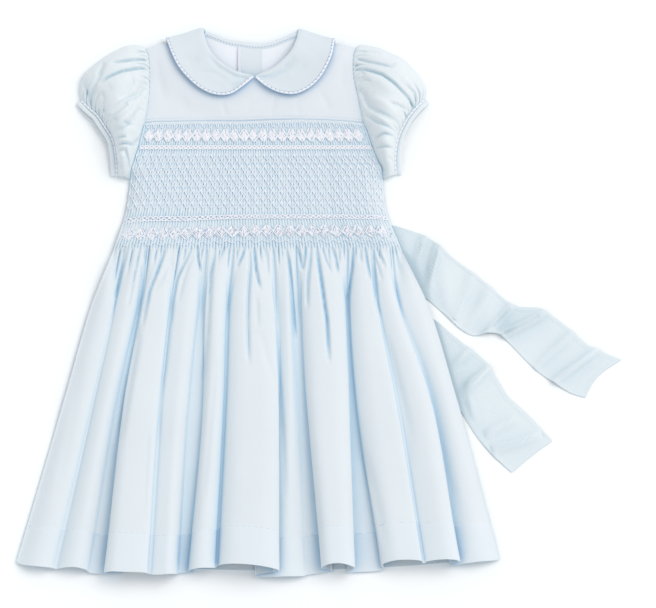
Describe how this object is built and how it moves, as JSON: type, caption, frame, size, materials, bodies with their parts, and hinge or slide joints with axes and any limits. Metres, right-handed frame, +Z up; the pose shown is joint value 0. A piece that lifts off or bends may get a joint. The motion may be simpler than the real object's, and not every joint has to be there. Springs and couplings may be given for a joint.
{
  "type": "toddler dress",
  "caption": "Toddler's smocked cotton dress with puff sleeves, piped round collar, gathered skirt and sash ties, laid flat face up.",
  "frame": {"origin": "middle of the laid-out footprint, on the surface the dress lies on", "axes": "+X across the dress towards the side where both sash ties lie (its own left side), +Y from hem to neck, +Z up from the surface through the front"},
  "size_m": [0.6032, 0.5694, 0.0356],
  "materials": {
    "blue_cotton": "matt plain-weave cotton, pale blue",
    "white_lawn": "matt fine white cotton lawn",
    "white_piping": "matt white cord piping, stitched in blue",
    "pearl_button": "satin white"
  },
  "bodies": {
    "root": {"back_lining_left": "white_lawn", "back_lining_right": "white_lawn", "back_placket": "blue_cotton", "back_skirt": "blue_cotton", "back_yoke_left": "blue_cotton", "back_yoke_right": "blue_cotton", "button_1": "pearl_button", "button_2": "pearl_button", "button_3": "pearl_button", "collar_left": "blue_cotton", "collar_piping_left": "white_piping", "collar_piping_right": "white_piping", "collar_right": "blue_cotton", "cuff_binding_left": "blue_cotton", "cuff_binding_right": "blue_cotton", "cuff_piping_left": "white_piping", "cuff_piping_right": "white_piping", "front_skirt": "blue_cotton", "front_yoke": "blue_cotton", "neck_binding": "blue_cotton", "sash_left": "blue_cotton", "sash_right": "blue_cotton", "sleeve_left": "blue_cotton", "sleeve_right": "blue_cotton"}
  },
  "joints": []
}
